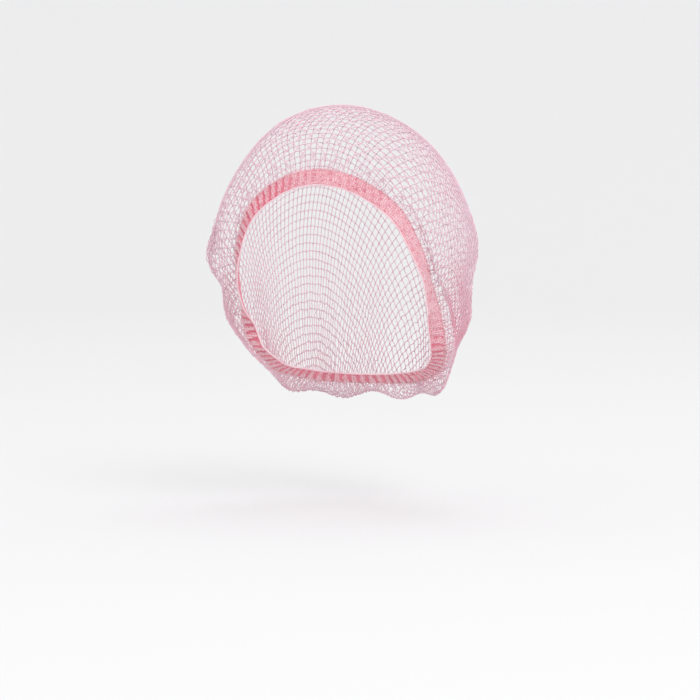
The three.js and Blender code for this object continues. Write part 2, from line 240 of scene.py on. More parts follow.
class HairnetBand(bpy.types.PropertyGroup):
    width: length("Width", "Width of the elastic band", 11.5)
    thickness: length("Thickness", "Thickness of the elastic band", 2)
    seam_gap: length("Seam gap", "Between the band and the net's solid", 0.3)
    rib_pitch: length("Rib pitch", "From one gathered rib to the next", 6.6)
    stitch: length("Stitch", "Length of a stitch", 1.9)
    wale: length("Wale", "Width of a row of stitches", 1.9)
    hem: length("Hem", "Thickness of the hem cord along the face", 1.2)
    light: colour("Light yarn", "Colour of the stitches on the ribs", "#FCDFE6")
    middle: colour("Middle yarn", "Colour of the band between the stitches", "#EC9CA9")
    # The deep colour is painted shade on the band's body, in the grooves and on the inner face; the
    # stitches and hems also mix it in as their yarn's own pinker tone.
    deep: colour("Deep yarn", "Colour in the grooves and on the inner face", "#D8627A")


class HairnetStudio(bpy.types.PropertyGroup):
    distance: length("Camera distance", "From the camera to the hairnet", 3000)
    view_width: length("View width", "Width of the view at the hairnet", 525)
    azimuth: angle("Azimuth", "Camera's place round the hairnet", 15)
    elevation: angle("Elevation", "Camera's place above level", 5)
    aim_right: length("Aim right", "How far right of the crown the camera aims", 6.1)
    aim_down: length("Aim down", "How far below the crown the camera aims", 182.7)
    floor_drop: length("Floor drop", "From the crown down to the floor", 309)
    paper: colour("Paper", "Colour of the floor and backdrop", "#E3E3E4")


# Each group of values by the name that the scene keeps it under
GROUPS = {
    "hairnet_form": HairnetForm,
    "hairnet_net": HairnetNet,
    "hairnet_band": HairnetBand,
    "hairnet_studio": HairnetStudio,
}


class Millimetres:
    """The scene's values of one group, with lengths in millimetres."""

    def __init__(self, name):
        for key, kind in getattr(bpy.context.scene, name).bl_rna.properties.items():
            value = getattr(getattr(bpy.context.scene, name), key)
            setattr(self, key, value / MM if getattr(kind, "unit", "") == "LENGTH" else value)


def smooth_value(knots, values, at):
    """Values of smooth lines through the values at the knots, with one spare knot past each end."""
    at = np.atleast_2d(at)
    shape = (max(len(at), len(np.atleast_2d(values))), np.shape(knots)[-1])
    knots, values = np.broadcast_to(knots, shape), np.broadcast_to(values, shape)
    at = np.broadcast_to(at, (shape[0], at.shape[1]))
    i = (at[:, :, None] > knots[:, None, 2:-2]).sum(2) + 1
    knot = [np.take_along_axis(knots, i + step, 1) for step in (-1, 0, 1, 2)]
    value = [np.take_along_axis(values, i + step, 1) for step in (-1, 0, 1, 2)]
    before, span, after = (knot[k + 1] - knot[k] for k in range(3))
    rise_before, rise, rise_after = (
        (value[k + 1] - value[k]) / gap for k, gap in enumerate((before, span, after))
    )
    slope_start = (rise_before * span + rise * before) / (span + before)
    slope_end = (rise * after + rise_after * span) / (span + after)
    t = (at - knot[1]) / span
    ease = t * t * (3 - 2 * t)
    leaving = t * (1 - t) ** 2 * span * slope_start
    arriving = t * t * (1 - t) * span * slope_end
    return value[1] * (1 - ease) + value[2] * ease + leaving - arriving


def read_table(rows, read, turn):
    """A column of a table that runs from the front to the back, mirrored on the other side."""
    turn = np.asarray(turn, float)
    folded = np.abs((turn + 180) % 360 - 180)
    knots = [-rows[1]["turn"], *(row["turn"] for row in rows), 360 - rows[-2]["turn"]]
    values = [read(rows[1]), *map(read, rows), read(rows[-2])]
    return smooth_value(knots, values, folded.reshape(1, -1)).reshape(turn.shape)


def read_ring(rows, column, turn, gain=0):
    """A column of a table that runs once round the head, and gains a value on each round."""
    turn = np.asarray(turn, float)
    knots = [row["turn"] for row in rows]
    values = [row[column] for row in rows]
    knots = [knots[-1] - 360, *knots, knots[0] + 360, knots[1] + 360]
    values = [values[-1] - gain, *values, values[0] + gain, values[1] + gain]
    wrapped = (turn + 180) % 360 - 180
    return smooth_value(knots, values, wrapped.reshape(1, -1)).reshape(turn.shape)


def bell(turn, row):
    """Rises to 1 in the direction of a row and fades to both sides over its width."""
    away = (turn - row["turn"] + 540) % 360 - 180
    return np.exp(-((away / row["width"]) ** 2))


def smoothstep(value, low, high):
    """Rises smoothly from 0 to 1 between two values."""
    share = np.clip((value - low) / (high - low), 0, 1)
    return share * share * (3 - 2 * share)


def unit(vectors):
    """The vectors, each made one long."""
    return vectors / np.maximum(np.linalg.norm(vectors, axis=-1, keepdims=True), 1e-9)


class Form:
    """The smooth worn form of the net and the band, in millimetres."""

    TURNS = np.arange(361.0)
    STEPS = 400
    RUFFLE_START, RUFFLE_FULL, CALM_FROM = 0.45, 0.8, 0.9
    POUCH_SLACK, CROWN_STEPS = 0.5, 8

    def __init__(self):
        self.size = Millimetres("hairnet_form")
        self.band = Millimetres("hairnet_band")
        self.make_band_line()
        self.make_meridians()
        self.add_slack()

    def plan_point(self, turn, reach, drop):
        """Point of the plan ellipse in one direction, at a share of its size and of the height."""
        angle = np.radians(turn)
        depth = np.where(np.cos(angle) > 0, self.size.front_depth, self.size.back_depth)
        across = reach * self.size.half_width * np.sin(angle)
        return np.stack([across, -reach * depth * np.cos(angle), -drop * self.size.height], -1)

    def band_middle(self, turn):
        """Middle of the band in one direction."""
        reach = read_table(BAND_LINE, lambda row: row["reach"], turn)
        drop = read_table(BAND_LINE, lambda row: row["drop"], turn)
        for tuck in TUCKS:
            reach = reach - tuck["inward"] * bell(turn, tuck)
        return self.plan_point(turn, reach, drop)

    def band_frame(self, turn):
        """Middle of the band, with its directions across towards the net and out of its face."""
        middle = self.band_middle(turn)
        along = unit(self.band_middle(turn + 1) - self.band_middle(turn - 1))
        lean = np.radians(read_table(BAND_LINE, lambda row: row["lean"], turn))[..., None]
        point = self.plan_point(turn, np.ones_like(turn), np.zeros_like(turn))
        depth = np.where(point[..., 1] < 0, self.size.front_depth, self.size.back_depth)
        flat = np.stack(
            [point[..., 0] / self.size.half_width**2, point[..., 1] / depth**2, 0 * depth], -1
        )
        across = unit(flat) * np.cos(lean) + UP * np.sin(lean)
        across = unit(across - along * (across * along).sum(-1, keepdims=True))
        return middle, across, unit(np.cross(along, across))

    def make_band_line(self):
        """Length along the band at fine steps of direction."""
        self.band_turns = np.linspace(0, 360, 1441)
        steps = np.linalg.norm(np.diff(self.band_middle(self.band_turns), axis=0), axis=1)
        self.band_runs = np.concatenate([[0], np.cumsum(steps)])
        self.band_length = self.band_runs[-1]

    def make_meridians(self):
        """Lines from the crown to the band in every direction, with even steps along each."""
        turn = self.TURNS
        middle, across, _ = self.band_frame(turn)
        shares = {
            name: [read_table(OUTLINE, lambda row: row[name][k], turn) for k in (0, 1)] for name in STATIONS
        }
        places = [self.plan_point(turn, *shares[name]) for name in STATIONS]
        edge = middle + across * (self.band.width / 2 + self.band.seam_gap)
        lead = self.size.longest_lead * read_table(BAND_LINE, lambda row: row["lead"], turn)
        opposite = self.plan_point(turn, -shares["crown"][0], 0 * turn)
        opposite[:, 2] = places[0][:, 2]
        crown = np.broadcast_to(UP * self.size.thickness / 2, edge.shape)
        approach = edge + across * lead[:, None]
        control = np.stack([opposite, crown, *places, approach, edge, middle], 1)
        steps = np.linalg.norm(np.diff(control, axis=1), axis=2)
        knots = np.cumsum(np.pad(steps, ((0, 0), (1, 0))), 1)
        share = np.linspace(0, 1, self.STEPS + 1)
        at = knots[:, 1:2] * (1 - share) + knots[:, -2:-1] * share
        line = np.stack([smooth_value(knots, control[:, :, k], at) for k in range(3)], -1)
        steps = np.linalg.norm(np.diff(line, axis=1), axis=2)
        runs = np.cumsum(np.pad(steps, ((0, 0), (1, 0))), 1)
        self.full = runs[:, -1]
        self.grid = np.empty_like(line)
        for row, (run, points) in enumerate(zip(runs, line)):
            for k in range(3):
                self.grid[row, :, k] = np.interp(share * run[-1], run, points[:, k])
        self.normals = self.find_normals()

    def find_normals(self):
        """Outward directions of the grid of points."""
        ahead = np.concatenate([self.grid[1:], self.grid[1:2]])
        behind = np.concatenate([self.grid[-2:-1], self.grid[:-1]])
        onward = np.gradient(self.grid, axis=1)
        normals = -unit(np.cross(ahead - behind, onward))
        normals[:, : self.CROWN_STEPS] = UP
        return normals

    def add_slack(self):
        """Lifts the net off its smooth form in the slack folds and the pouch's ruffles."""
        turn = self.TURNS[:, None]
        share = np.linspace(0, 1, self.STEPS + 1)[None]
        drop = -self.grid[:, :, 2] / self.size.height
        from_waist = smoothstep(share, self.RUFFLE_START, self.RUFFLE_FULL)
        back = np.sqrt(np.maximum(0, -np.cos(np.radians(turn))))
        wave = np.cos(np.radians(self.size.ruffle_count * turn))
        stand = self.size.ruffle_height * wave * from_waist * back
        slack = self.POUCH_SLACK * from_waist * back
        for fold in FOLDS:
            down = np.clip((drop - fold["top"]) / (fold["bottom"] - fold["top"]), 0, 1)
            lifted = np.sin(down * np.pi) ** 2 * bell(turn, fold)
            stand = stand + fold["stand"] * lifted
            slack = slack + np.sqrt(lifted)
        calm = 1 - smoothstep(share, self.CALM_FROM, 1)
        stand = stand * calm
        self.slack = np.clip(slack, 0, 1) * calm
        self.grid = self.grid + self.normals * stand[:, :, None]
        self.normals = self.find_normals()

    def full_run(self, turn):
        """Length from the crown to the band in one direction."""
        return np.interp(turn % 360, self.TURNS, self.full)

    def read_grid(self, grid, turn, run):
        """A value of the grid between its points."""
        row = turn % 360
        column = np.clip(run / self.full_run(turn), 0, 1) * self.STEPS
        low_row = np.minimum(row.astype(int), 359)
        low_column = np.minimum(column.astype(int), self.STEPS - 1)
        over, on = (row - low_row)[..., None], (column - low_column)[..., None]
        near = grid[low_row, low_column] * (1 - on) + grid[low_row, low_column + 1] * on
        far = grid[low_row + 1, low_column] * (1 - on) + grid[low_row + 1, low_column + 1] * on
        return near * (1 - over) + far * over

    def slackness(self, turn, run):
        """How slack the net hangs at a place, from 0 to 1."""
        return self.read_grid(self.slack[:, :, None], turn, run)[..., 0]

    def place(self, turn, run, off=0):
        """Points of the net, off its middle, and its outward directions."""
        normals = unit(self.read_grid(self.normals, turn, run))
        return self.read_grid(self.grid, turn, run) + normals * np.asarray(off)[..., None], normals


class Meshes:
    """Collects the points and faces of many small shapes into one mesh."""

    def __init__(self):
        self.points, self.faces, self.values = [], [], {}
        self.count = 0

    def add(self, points, faces, **values):
        """Adds one shape, or a stack of like shapes, and its named values at each point."""
        points = np.asarray(points, float)
        stack = points.reshape(-1, points.shape[-2], 3)
        starts = self.count + np.arange(len(stack)) * stack.shape[1]
        for group in faces:
            group = np.asarray(group)
            self.faces.append((starts[:, None, None] + group).reshape(-1, group.shape[-1]))
        self.points.append(stack.reshape(-1, 3))
        for name, value in values.items():
            spread = np.broadcast_to(value, stack.shape[:2]).reshape(-1)
            self.values.setdefault(name, []).append(spread)
        self.count += stack.shape[0] * stack.shape[1]

    def tube(self, centres, normals, radius, sides, closed=False, **values):
        """Adds a tube along points, with its sides placed from the outward directions."""
        onward = np.gradient(centres, axis=0)
        if closed:
            onward = np.roll(centres, -1, 0) - np.roll(centres, 1, 0)
        onward = unit(onward)
        out = unit(normals - onward * (normals * onward).sum(-1, keepdims=True))
        side = np.cross(onward, out)
        angle = 2 * np.pi * np.arange(sides) / sides
        radius = np.broadcast_to(radius, len(centres))[:, None, None]
        ring = out[:, None] * np.cos(angle)[:, None] + side[:, None] * np.sin(angle)[:, None]
        points = (centres[:, None] + ring * radius).reshape(-1, 3)
        faces, count = [ring_faces(len(centres), sides, closed)], len(points)
        if not closed:
            faces += [np.arange(sides)[None, ::-1], np.arange(count - sides, count)[None]]
        steps = np.linalg.norm(np.diff(centres, axis=0, prepend=centres[:1]), axis=1)
        along = np.repeat(np.cumsum(steps), sides)
        turned = {"cosine": np.tile(np.cos(angle), len(centres))}
        turned["sine"] = np.tile(np.sin(angle), len(centres))
        spread = {
            name: np.repeat(np.broadcast_to(value, len(centres)), sides)
            for name, value in values.items()
        }
        self.add(points, faces, along=along, **turned, **spread)

    def balls(self, centres, axes, size, tint):
        """Adds a small ball at each centre, with a size along each of its own three axes."""
        shape, faces = ball(5, 4)
        shape = shape * size
        points = centres[:, None] + sum(
            shape[None, :, k : k + 1] * axis[:, None] for k, axis in enumerate(axes)
        )
        values = {"along": 0.0, "cosine": shape[None, :, 1], "sine": shape[None, :, 2]}
        self.add(points, faces, tint=tint[:, None], **values)

    def piece(self, name, material):
        """Makes the object and lets it ride with the body."""
        if not self.points:
            raise RuntimeError(f"There is nothing to make {name} from")
        faces = [face for group in self.faces for face in group.tolist()]
        piece = add_mesh(name, np.concatenate(self.points) * MM, faces, material)
        for key, value in self.values.items():
            attribute = piece.data.attributes.new(key, "FLOAT", "POINT")
            attribute.data.foreach_set("value", np.concatenate(value).astype(np.float32))
        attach(piece, body)
        return piece


def add_object(name, data):
    """A new object in the scene."""
    made = bpy.data.objects.new(name, data)
    bpy.context.scene.collection.objects.link(made)
    return made


def add_mesh(name, points, faces, material):
    """A new object with a smooth mesh."""
    mesh = bpy.data.meshes.new(name)
    mesh.from_pydata(points, [], faces)
    mesh.shade_smooth()
    mesh.materials.append(material)
    return add_object(name, mesh)


def ring_faces(rings, sides, closed):
    """Faces between neighbouring rings of points."""
    ring = np.arange(rings if closed else rings - 1)[:, None]
    side = np.arange(sides)[None]
    next_ring, next_side = (ring + 1) % rings, (side + 1) % sides
    corners = (ring * sides + side, next_ring * sides + side)
    corners += (next_ring * sides + next_side, ring * sides + next_side)
    return np.stack(corners, -1).reshape(-1, 4)


def set_inputs(material, node, inputs):
    """Sets inputs of a node to values or to other nodes' outputs."""
    for name, value in inputs.items():
        if isinstance(value, bpy.types.NodeSocket):
            material.node_tree.links.new(value, node.inputs[name])
        else:
            node.inputs[name].default_value = value


def add_node(material, kind, inputs=None, **settings):
    """Adds a node with its inputs and settings."""
    node = material.node_tree.nodes.new("ShaderNode" + kind)
    for name, value in settings.items():
        setattr(node, name, value)
    set_inputs(material, node, inputs or {})
    return node


def point_value(material, name):
    """A value that the mesh holds at each of its points."""
    return add_node(material, "Attribute", attribute_name=name).outputs["Fac"]


def maths(material, operation, *values, clamp=False):
    """The result of one step of maths."""
    node = add_node(material, "Math", dict(enumerate(values)), operation=operation, use_clamp=clamp)
    return node.outputs[0]


def scaled_place(material, spacing):
    """Inputs of a texture that repeats about every so many millimetres."""
    place = add_node(material, "TexCoord").outputs["Object"]
    return {"Vector": place, "Scale": 1 / (spacing * MM)}


def add_noise(material, spacing, detail):
    """Uneven noise, with its spacing in millimetres."""
    inputs = {**scaled_place(material, spacing), "Detail": detail}
    return add_node(material, "TexNoise", inputs).outputs["Fac"]


def add_bump(material, strength, depth, height):
    """Fine relief for a shader, with its depth in millimetres."""
    inputs = {"Strength": strength, "Distance": depth * MM, "Height": height}
    return add_node(material, "Bump", inputs).outputs[0]


def new_material(name):
    """An empty material, and its shader."""
    material = bpy.data.materials.new(name)
    material.use_nodes = True
    return material, material.node_tree.nodes["Principled BSDF"]


def rgba(values):
    """A colour with full cover."""
    return (*values, 1.0)


def knitted_yarn(name, pale, pink, twist_mm, bump):
    """Textured nylon filament, twisted and knitted: matt, a little furry, with a fine slanting ply."""
    material, shader = new_material(name)
    # The ply turns once over the twist's length. Real filament turns several times as often, and
    # is drawn coarser here so that it shows.
    turn = maths(material, "MULTIPLY", point_value(material, "along"), 2 * math.pi / twist_mm)
    across, up = (maths(material, operation, turn) for operation in ("COSINE", "SINE"))
    first = maths(material, "MULTIPLY", across, point_value(material, "cosine"))
    ply = maths(material, "MULTIPLY_ADD", up, point_value(material, "sine"), first)
    # Loose filaments catch the light unevenly over half a millimetre or so
    fibres = add_noise(material, 0.6, 3.0)
    # The dye takes a little unevenly from one stretch of yarn to the next
    dye = add_noise(material, 14, 2.0)
    pinker = maths(material, "MULTIPLY_ADD", dye, 0.7, -0.25, clamp=True)
    share = maths(material, "ADD", point_value(material, "tint"), pinker, clamp=True)
    mixed = {0: share, 6: rgba(pale), 7: rgba(pink)}
    yarn = add_node(material, "Mix", mixed, data_type="RGBA").outputs[2]
    limits = {"From Min": 0.25, "From Max": 0.75, "To Min": 0.86, "To Max": 1.06}
    shade = add_node(material, "MapRange", {"Value": fibres, **limits}).outputs[0]
    coloured = add_node(material, "VectorMath", {0: yarn, "Scale": shade}, operation="SCALE")
    relief = maths(material, "MULTIPLY_ADD", fibres, 1.2, ply)
    surface = {
        "Base Color": coloured.outputs[0],
        "Normal": add_bump(material, bump, 0.12, relief),
        "Roughness": 0.72,
        "Sheen Weight": 0.35,
        "Sheen Roughness": 0.45,
        "IOR": 1.53,
        "Subsurface Weight": 0.12,
        "Subsurface Scale": 0.8 * MM,
        "Subsurface Radius": (1.0, 0.5, 0.5),
    }
    set_inputs(material, shader, surface)
    return material


def knitted_elastic(name, light, middle, deep):
    """Covered elastic, weft knitted: soft, dull and speckled with the paler cover yarn where it stands up,
    with painted shade in deep pink in the grooves and on the inner face."""
    material, shader = new_material(name)
    # Single loops of the cover yarn, a little over a millimetre apart
    apart = {**scaled_place(material, 1.3), "Randomness": 0.8}
    loops = add_node(material, "TexVoronoi", apart, feature="F1").outputs["Distance"]
    fibres = add_noise(material, 0.7, 3.0)
    speckle = maths(material, "MULTIPLY_ADD", fibres, 0.9, -0.35, clamp=True)
    # Painted shade: places low in this value, the grooves and the band's inner face, take the deep colour;
    # the speckle is the cover yarn's own uneven colour.
    height = maths(material, "ADD", point_value(material, "ridge"), speckle, clamp=True)
    ramp = add_node(material, "ValToRGB", {"Fac": height})
    stops = ramp.color_ramp.elements
    stops[0].position, stops[0].color = 0.05, rgba(deep)
    stops[1].position, stops[1].color = 0.95, rgba(light)
    stops.new(0.45).color = rgba(middle)
    relief = maths(material, "MULTIPLY_ADD", loops, -1.0, fibres)
    surface = {
        "Base Color": ramp.outputs["Color"],
        "Normal": add_bump(material, 0.7, 0.35, relief),
        "Roughness": 0.8,
        "Sheen Weight": 0.4,
        "Sheen Roughness": 0.5,
        "IOR": 1.5,
    }
    set_inputs(material, shader, surface)
    return material


def seamless_paper(name, paper):
    """Matt seamless studio paper, rolled: nearly white, with a barely seen grain."""
    material, shader = new_material(name)
    grain = add_bump(material, 0.05, 0.1, add_noise(material, 3, 4.0))
    set_inputs(material, shader, {"Normal": grain, "Base Color": rgba(paper), "Roughness": 0.95})
    return material


class Lay:
    """How the flat net lies over the form: flat places, and where they come to on the head."""

    NEAR_RUN, FAR_RUN = 50, 120
    TURNS = np.linspace(-181, 181, 1449)

    def __init__(self, form):
        self.form = form
        turns = np.clip(self.TURNS, -179.99, 179.99)
        self.near = read_ring(LAY, "near", turns, 360)
        self.far = read_ring(LAY, "far", turns, 360)
        self.stretch = read_ring(LAY, "stretch", turns)

    def on_head(self, p, q):
        """Direction and length from the crown of a place in the flat net, found by halving."""
        side, back = (p + q) * math.sqrt(0.5), (q - p) * math.sqrt(0.5)
        flat_run, direction = np.hypot(side, back), np.degrees(np.arctan2(side, -back))
        low, high = np.full_like(direction, -180.0), np.full_like(direction, 180.0)
        for _ in range(24):
            turn = (low + high) / 2
            run = flat_run * np.interp(turn, self.TURNS, self.stretch)
            away = smoothstep(run, self.NEAR_RUN, self.FAR_RUN)
            near = np.interp(turn, self.TURNS, self.near)
            found = near + (np.interp(turn, self.TURNS, self.far) - near) * away
            low, high = np.where(found < direction, turn, low), np.where(found < direction, high, turn)
        return turn, run


class Knots:
    """The net's crossings: where they lie in the flat net and on the head, and which are kept."""

    CALM, LOOSE = 60, 170

    def __init__(self, form, size):
        self.lay = Lay(form)
        reach = math.ceil(form.full.max() / size.mesh * 1.12) + 2
        self.number = np.arange(-reach, reach + 1)
        flat = np.meshgrid(self.number * size.mesh, self.number * size.mesh, indexing="ij")
        noise = np.random.default_rng(11)
        loose = 0.3 + 0.7 * smoothstep(np.hypot(*flat), self.CALM, self.LOOSE)
        moved = zip(flat, self.stray(*flat))
        self.p, self.q = (
            place + loose * (size.sway * wave + noise.normal(0, size.slack / 2, place.shape))
            for place, wave in moved
        )
        slack = form.slackness(*self.lay.on_head(self.p, self.q))
        self.p, self.q = (
            place + size.crumple * slack * noise.normal(0, 1, place.shape) for place in (self.p, self.q)
        )
        self.turn, self.run = self.lay.on_head(self.p, self.q)
        gather = read_ring(FINISH, "gather", self.turn)
        self.inside = self.run < form.full_run(self.turn) - gather * 0.9
        self.inside[[0, -1]] = self.inside[:, [0, -1]] = False

    def stray(self, p, q):
        """How far meshes stray over a whole area: a few long waves laid over each other."""
        over = np.sin(p / 17 + 1.3) + np.sin((p + q) / 23 + 0.4) + np.sin((2 * q - p) / 31 + 2.1)
        down = np.sin(q / 19 + 0.7) + np.sin((q - p) / 27 + 1.9) + np.sin((2 * p + q) / 29 + 0.2)
        return over / 3, down / 3

    def last(self):
        """Directions and lengths from the crown of the last knots before the gathers."""
        inner = self.inside.copy()
        for step in (-1, 1):
            inner &= np.roll(self.inside, step, 0) & np.roll(self.inside, step, 1)
        edge = self.inside & ~inner
        order = np.argsort(self.turn[edge] % 360)
        return (self.turn[edge] % 360)[order], self.run[edge][order]


class HAIRNET_OT_net(bpy.types.Operator):
    """Knits the open net over the form, yarn by yarn, with a knot at each crossing"""

    bl_idname = "hairnet.net"
    bl_label = "Open net"

    SIDES = 5
    STEPS = 3
    DRAWN = 0.25
    CALM = 0.15

    def execute(self, context):
        size, form = Millimetres("hairnet_net"), Form()
        knots, self.noise = Knots(form, size), np.random.default_rng(17)
        yarns, tied = Meshes(), Meshes()
        for index in range(len(knots.number)):
            self.knit(yarns, form, knots, (index, slice(None)), size, 0.3)
            self.knit(yarns, form, knots, (slice(None), index), size, -0.3)
        self.tie(tied, form, knots, size)
        material = knitted_yarn("knitted nylon net yarn", size.pale, size.pink, 2.4, 0.5)
        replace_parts(yarns.piece("net_yarn", material), "net_bag")
        tied.piece("net_knots", material)
        return {"FINISHED"}

    def knit(self, yarns, form, knots, line, size, off):
        """One yarn through its knots, from the first to the last that is kept on the head."""
        inside = knots.inside[line]
        edges = np.flatnonzero(np.diff(np.concatenate([[0], inside.astype(int), [0]])))
        for start, end in zip(edges[::2], edges[1::2] - 1):
            if end > start:
                self.lay_yarn(yarns, form, knots, line, np.arange(start, end, 1 / self.STEPS), size, off)

    def lay_yarn(self, yarns, form, knots, line, at, size, off):
        """A stretch of yarn, arched a little towards the crown between its knots."""
        at = np.append(at, round(at[-1] + 0.4))
        number = np.arange(len(knots.number), dtype=float)
        p = smooth_value(number, knots.p[line], at)[0]
        q = smooth_value(number, knots.q[line], at)[0]
        run = np.hypot(p, q)
        level = np.abs(p * np.gradient(q) - q * np.gradient(p))
        level = level / np.maximum(np.hypot(np.gradient(p), np.gradient(q)) * run, 0.1)
        arch = size.arch * np.abs(np.sin(np.pi * at)) * level * smoothstep(run, 60, 100)
        shorter = 1 - arch / np.maximum(run, 1)
        turn, run = knots.lay.on_head(p * shorter, q * shorter)
        free = np.abs(np.sin(np.pi * at)) * (self.CALM + (1 - self.CALM) * form.slackness(turn, run))
        wander = size.wander * free * self.noise.normal(0, 1, (2, len(at)))
        points, normals = form.place(turn, run, off + wander[0])
        sideways = unit(np.cross(normals, np.gradient(points, axis=0)))
        points = points + sideways * wander[1][:, None]
        # The yarn is drawn thinner where it is stretched over the back of the head
        thick = size.yarn / 2 * (1 - self.DRAWN * smoothstep(points[:, 1], 0, 60))
        yarns.tube(points, normals, thick, self.SIDES, tint=pinkness(form, turn, run))

    def tie(self, tied, form, knots, size):
        """A small knot where two yarns cross, drawn long in the direction of one of them."""
        kept = knots.inside
        turn, run = knots.turn[kept], knots.run[kept]
        centre, normal = form.place(turn, run)
        ahead = form.place(*knots.lay.on_head(knots.p[kept] + 1, knots.q[kept]))[0]
        long = unit(ahead - centre)
        axes = (long, np.cross(normal, long), normal)
        thick = [size.knot / 2, size.knot * 0.42, size.knot * 0.36]
        tied.balls(centre, axes, thick, pinkness(form, turn, run))


def pinkness(form, turn, run):
    """How pink the yarn looks at a place on the net: more so where it lies low and thick."""
    low = smoothstep(run / form.full_run(turn), 0.7, 0.95)
    return np.clip(read_ring(FINISH, "pink", turn), 0, 1) * low


def ball(around, rows):
    """A small ball of points, and its faces."""
    heights = np.cos(np.pi * np.arange(1, rows) / rows)
    angle = 2 * np.pi * np.arange(around) / around
    radius = np.sqrt(1 - heights**2)[:, None]
    rings = np.stack(
        [
            np.broadcast_to(heights[:, None], (rows - 1, around)),
            radius * np.cos(angle), radius * np.sin(angle),
        ],
        -1,
    )
    points = np.concatenate([rings.reshape(-1, 3), [[1, 0, 0], [-1, 0, 0]]])
    quads = ring_faces(rows - 1, around, False)[:, ::-1]
    first, last = len(points) - 2, len(points) - 1
    side = np.arange(around)
    beyond = (side + 1) % around
    start = (rows - 2) * around
    top = np.stack([np.full(around, first), side, beyond], 1)
    bottom = np.stack([np.full(around, last), start + beyond, start + side], 1)
    return points, [quads, top, bottom]


class HAIRNET_OT_gathers(bpy.types.Operator):
    """Draws the net together along the band in fine waving yarns, and adds the slack tuft"""

    bl_idname = "hairnet.gathers"
    bl_label = "Gathers and tuft"

    SIDES = 5
    STEP = 1.2
    WAVE = 6.0
    SEWN_IN = 1.0
    SWING = 0.35
    TUFT_YARNS, TUFT_TURN, TUFT_TOP, TUFT_BOTTOM = 14, 278, 132, 176

    def execute(self, context):
        size, form = Millimetres("hairnet_net"), Form()
        noise, band = np.random.default_rng(23), BandSurface(form)
        turns, runs = Knots(form, size).last()
        knots = np.stack(form.place(turns, runs), 1)
        count = 2 * round(form.band_length / size.gather_pitch / 2)
        along = (np.arange(count) + noise.normal(0, 0.08, count)) * form.band_length / count
        over = np.full(count, form.band.width / 2 - self.SEWN_IN)
        ends = np.stack(band.place(along, over, 0 * over), 1)
        away = np.linalg.norm(ends[:, None, 0] - knots[None, :, 0], axis=2)
        # Neighbours end at the nearest knot and the one after it by turns, so that they cross
        chosen = np.argsort(away, 1)[np.arange(count), np.arange(count) % 2]
        pairs = list(zip(range(count), chosen))
        pairs += [(away[:, k].argmin(), k) for k in sorted(set(range(len(knots))) - set(chosen))]
        yarns = Meshes()
        for index, (end, knot) in enumerate(pairs):
            pink = read_ring(FINISH, "pink", band.turn_at(along[end]))
            self.gather(yarns, size, knots[knot], ends[end], index, pink)
        material = knitted_yarn("gathered nylon net yarn", size.pale, size.pink, 1.8, 0.5)
        yarns.piece("net_gathers", material)
        self.tuft(form, size, material, noise)
        return {"FINISHED"}

    def gather(self, yarns, size, knot, end, index, pink):
        """One gathered yarn from a knot into the band, waving against its neighbours."""
        start, normal = knot
        finish, across, out = end
        gap = np.linalg.norm(finish - start)
        share = np.linspace(0, 1, max(round(gap / self.STEP), 2) + 1)[:, None]
        leaving = unit(finish - start - normal * ((finish - start) @ normal)) * gap
        ease = share * share * (3 - 2 * share)
        points = start * (1 - ease) + finish * ease + leaving * share * (1 - share) ** 2
        points = points + across * gap * share * share * (1 - share)
        normals = unit(normal * (1 - ease) + out * ease)
        phase = 2 * np.pi * share * max(round(gap / self.WAVE), 1) + np.pi * index
        loose = np.sin(np.pi * np.clip(share, 0, 1)) ** 0.6
        sideways = unit(np.cross(normals, finish - start))
        points = points + sideways * self.SWING * size.gather_pitch * loose * np.sin(phase)
        points = points + normals * self.SWING * loose * np.cos(phase)
        thick = size.yarn / 2 + (size.gather_yarn - size.yarn) / 2 * smoothstep(share, 0, 0.35)
        yarns.tube(points, normals, thick[:, 0], self.SIDES, tint=(pink + 0.25) * ease[:, 0])

    def tuft(self, form, size, material, noise):
        """The slack tuft that stands off the net on the wearer's right."""
        yarns = Meshes()
        for index in range(self.TUFT_YARNS):
            turn = self.TUFT_TURN + (index - self.TUFT_YARNS / 2) * 0.9 + noise.normal(0, 0.3)
            start, end = self.TUFT_TOP + noise.uniform(0, 12), self.TUFT_BOTTOM - noise.uniform(0, 14)
            runs = np.arange(start, end, self.STEP)
            share = (runs - start) / (end - start)
            swing = 0.8 * np.sin(2 * np.pi * share * 3.5 + index * np.pi)
            off = noise.uniform(0.5, 4.0) * np.sin(np.pi * share) + 0.5 * np.sin(share * 40)
            points, normals = form.place(turn + swing, runs, off)
            yarns.tube(points, normals, size.gather_yarn / 2, self.SIDES, tint=0.1)
        yarns.piece("net_tuft", material)


